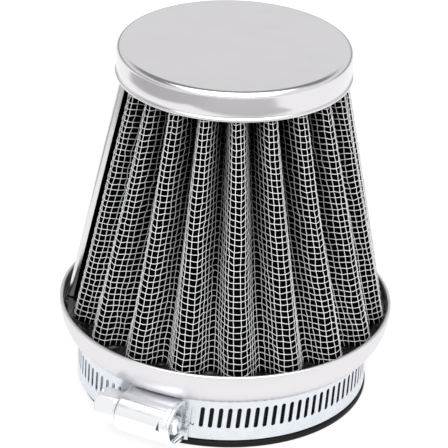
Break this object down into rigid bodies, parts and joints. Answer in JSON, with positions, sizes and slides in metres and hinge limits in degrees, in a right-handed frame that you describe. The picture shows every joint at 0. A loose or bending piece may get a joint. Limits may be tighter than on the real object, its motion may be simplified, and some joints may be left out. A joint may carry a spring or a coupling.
{
  "type": "motorcycle cone air filter",
  "caption": "Clamp-on cone air filter: pleated wire gauze between a chrome cap and rim, rubber neck with a worm-drive hose clamp.",
  "frame": {"origin": "on the filter's axis, at the mouth of the rubber neck", "axes": "+Z runs along the filter's axis from the neck's mouth to the cap; the clamp's screw housing is at the corner between -X and -Y"},
  "size_m": [0.0798, 0.0798, 0.0876],
  "materials": {
    "chrome_steel": "polished chrome plate",
    "zinc_steel": "bright zinc plate",
    "wire_gauze": "woven galvanised wire",
    "filter_cloth": "matt black cloth",
    "black_rubber": "moulded, satin",
    "potting_resin": "cast resin, glossy"
  },
  "bodies": {
    "filter": {"top_cap": "chrome_steel", "cap_resin": "potting_resin", "seam_strip": "chrome_steel", "outer_gauze": "wire_gauze", "filter_media": "filter_cloth", "inner_gauze": "wire_gauze", "bottom_rim": "chrome_steel", "base_resin": "potting_resin", "rubber_base": "black_rubber"},
    "clamp": {"clamp_band": "zinc_steel", "clamp_housing": "zinc_steel"},
    "tail": {"clamp_band_tail": "zinc_steel"},
    "screw": {"clamp_screw": "zinc_steel"}
  },
  "joints": [
    {"name": "clamp_swivel", "type": "hinge", "parent": "filter", "child": "clamp", "pos_m": [0, 0, 0.008], "axis": [0, 0, 1], "continuous": true},
    {"name": "screw_turn", "type": "hinge", "parent": "clamp", "child": "screw", "pos_m": [-0.02751, -0.02751, 0.008], "axis": [0.7071, -0.7071, 0], "range_deg": [-700, 700]},
    {"name": "tail_feed", "type": "hinge", "parent": "clamp", "child": "tail", "pos_m": [0, 0, 0.008], "axis": [0, 0, 1], "range_deg": [-7.2, 7.2]}
  ],
  "couplings": [
    {"joint": "tail_feed", "follows": "screw_turn", "ratio": -0.009901}
  ]
}
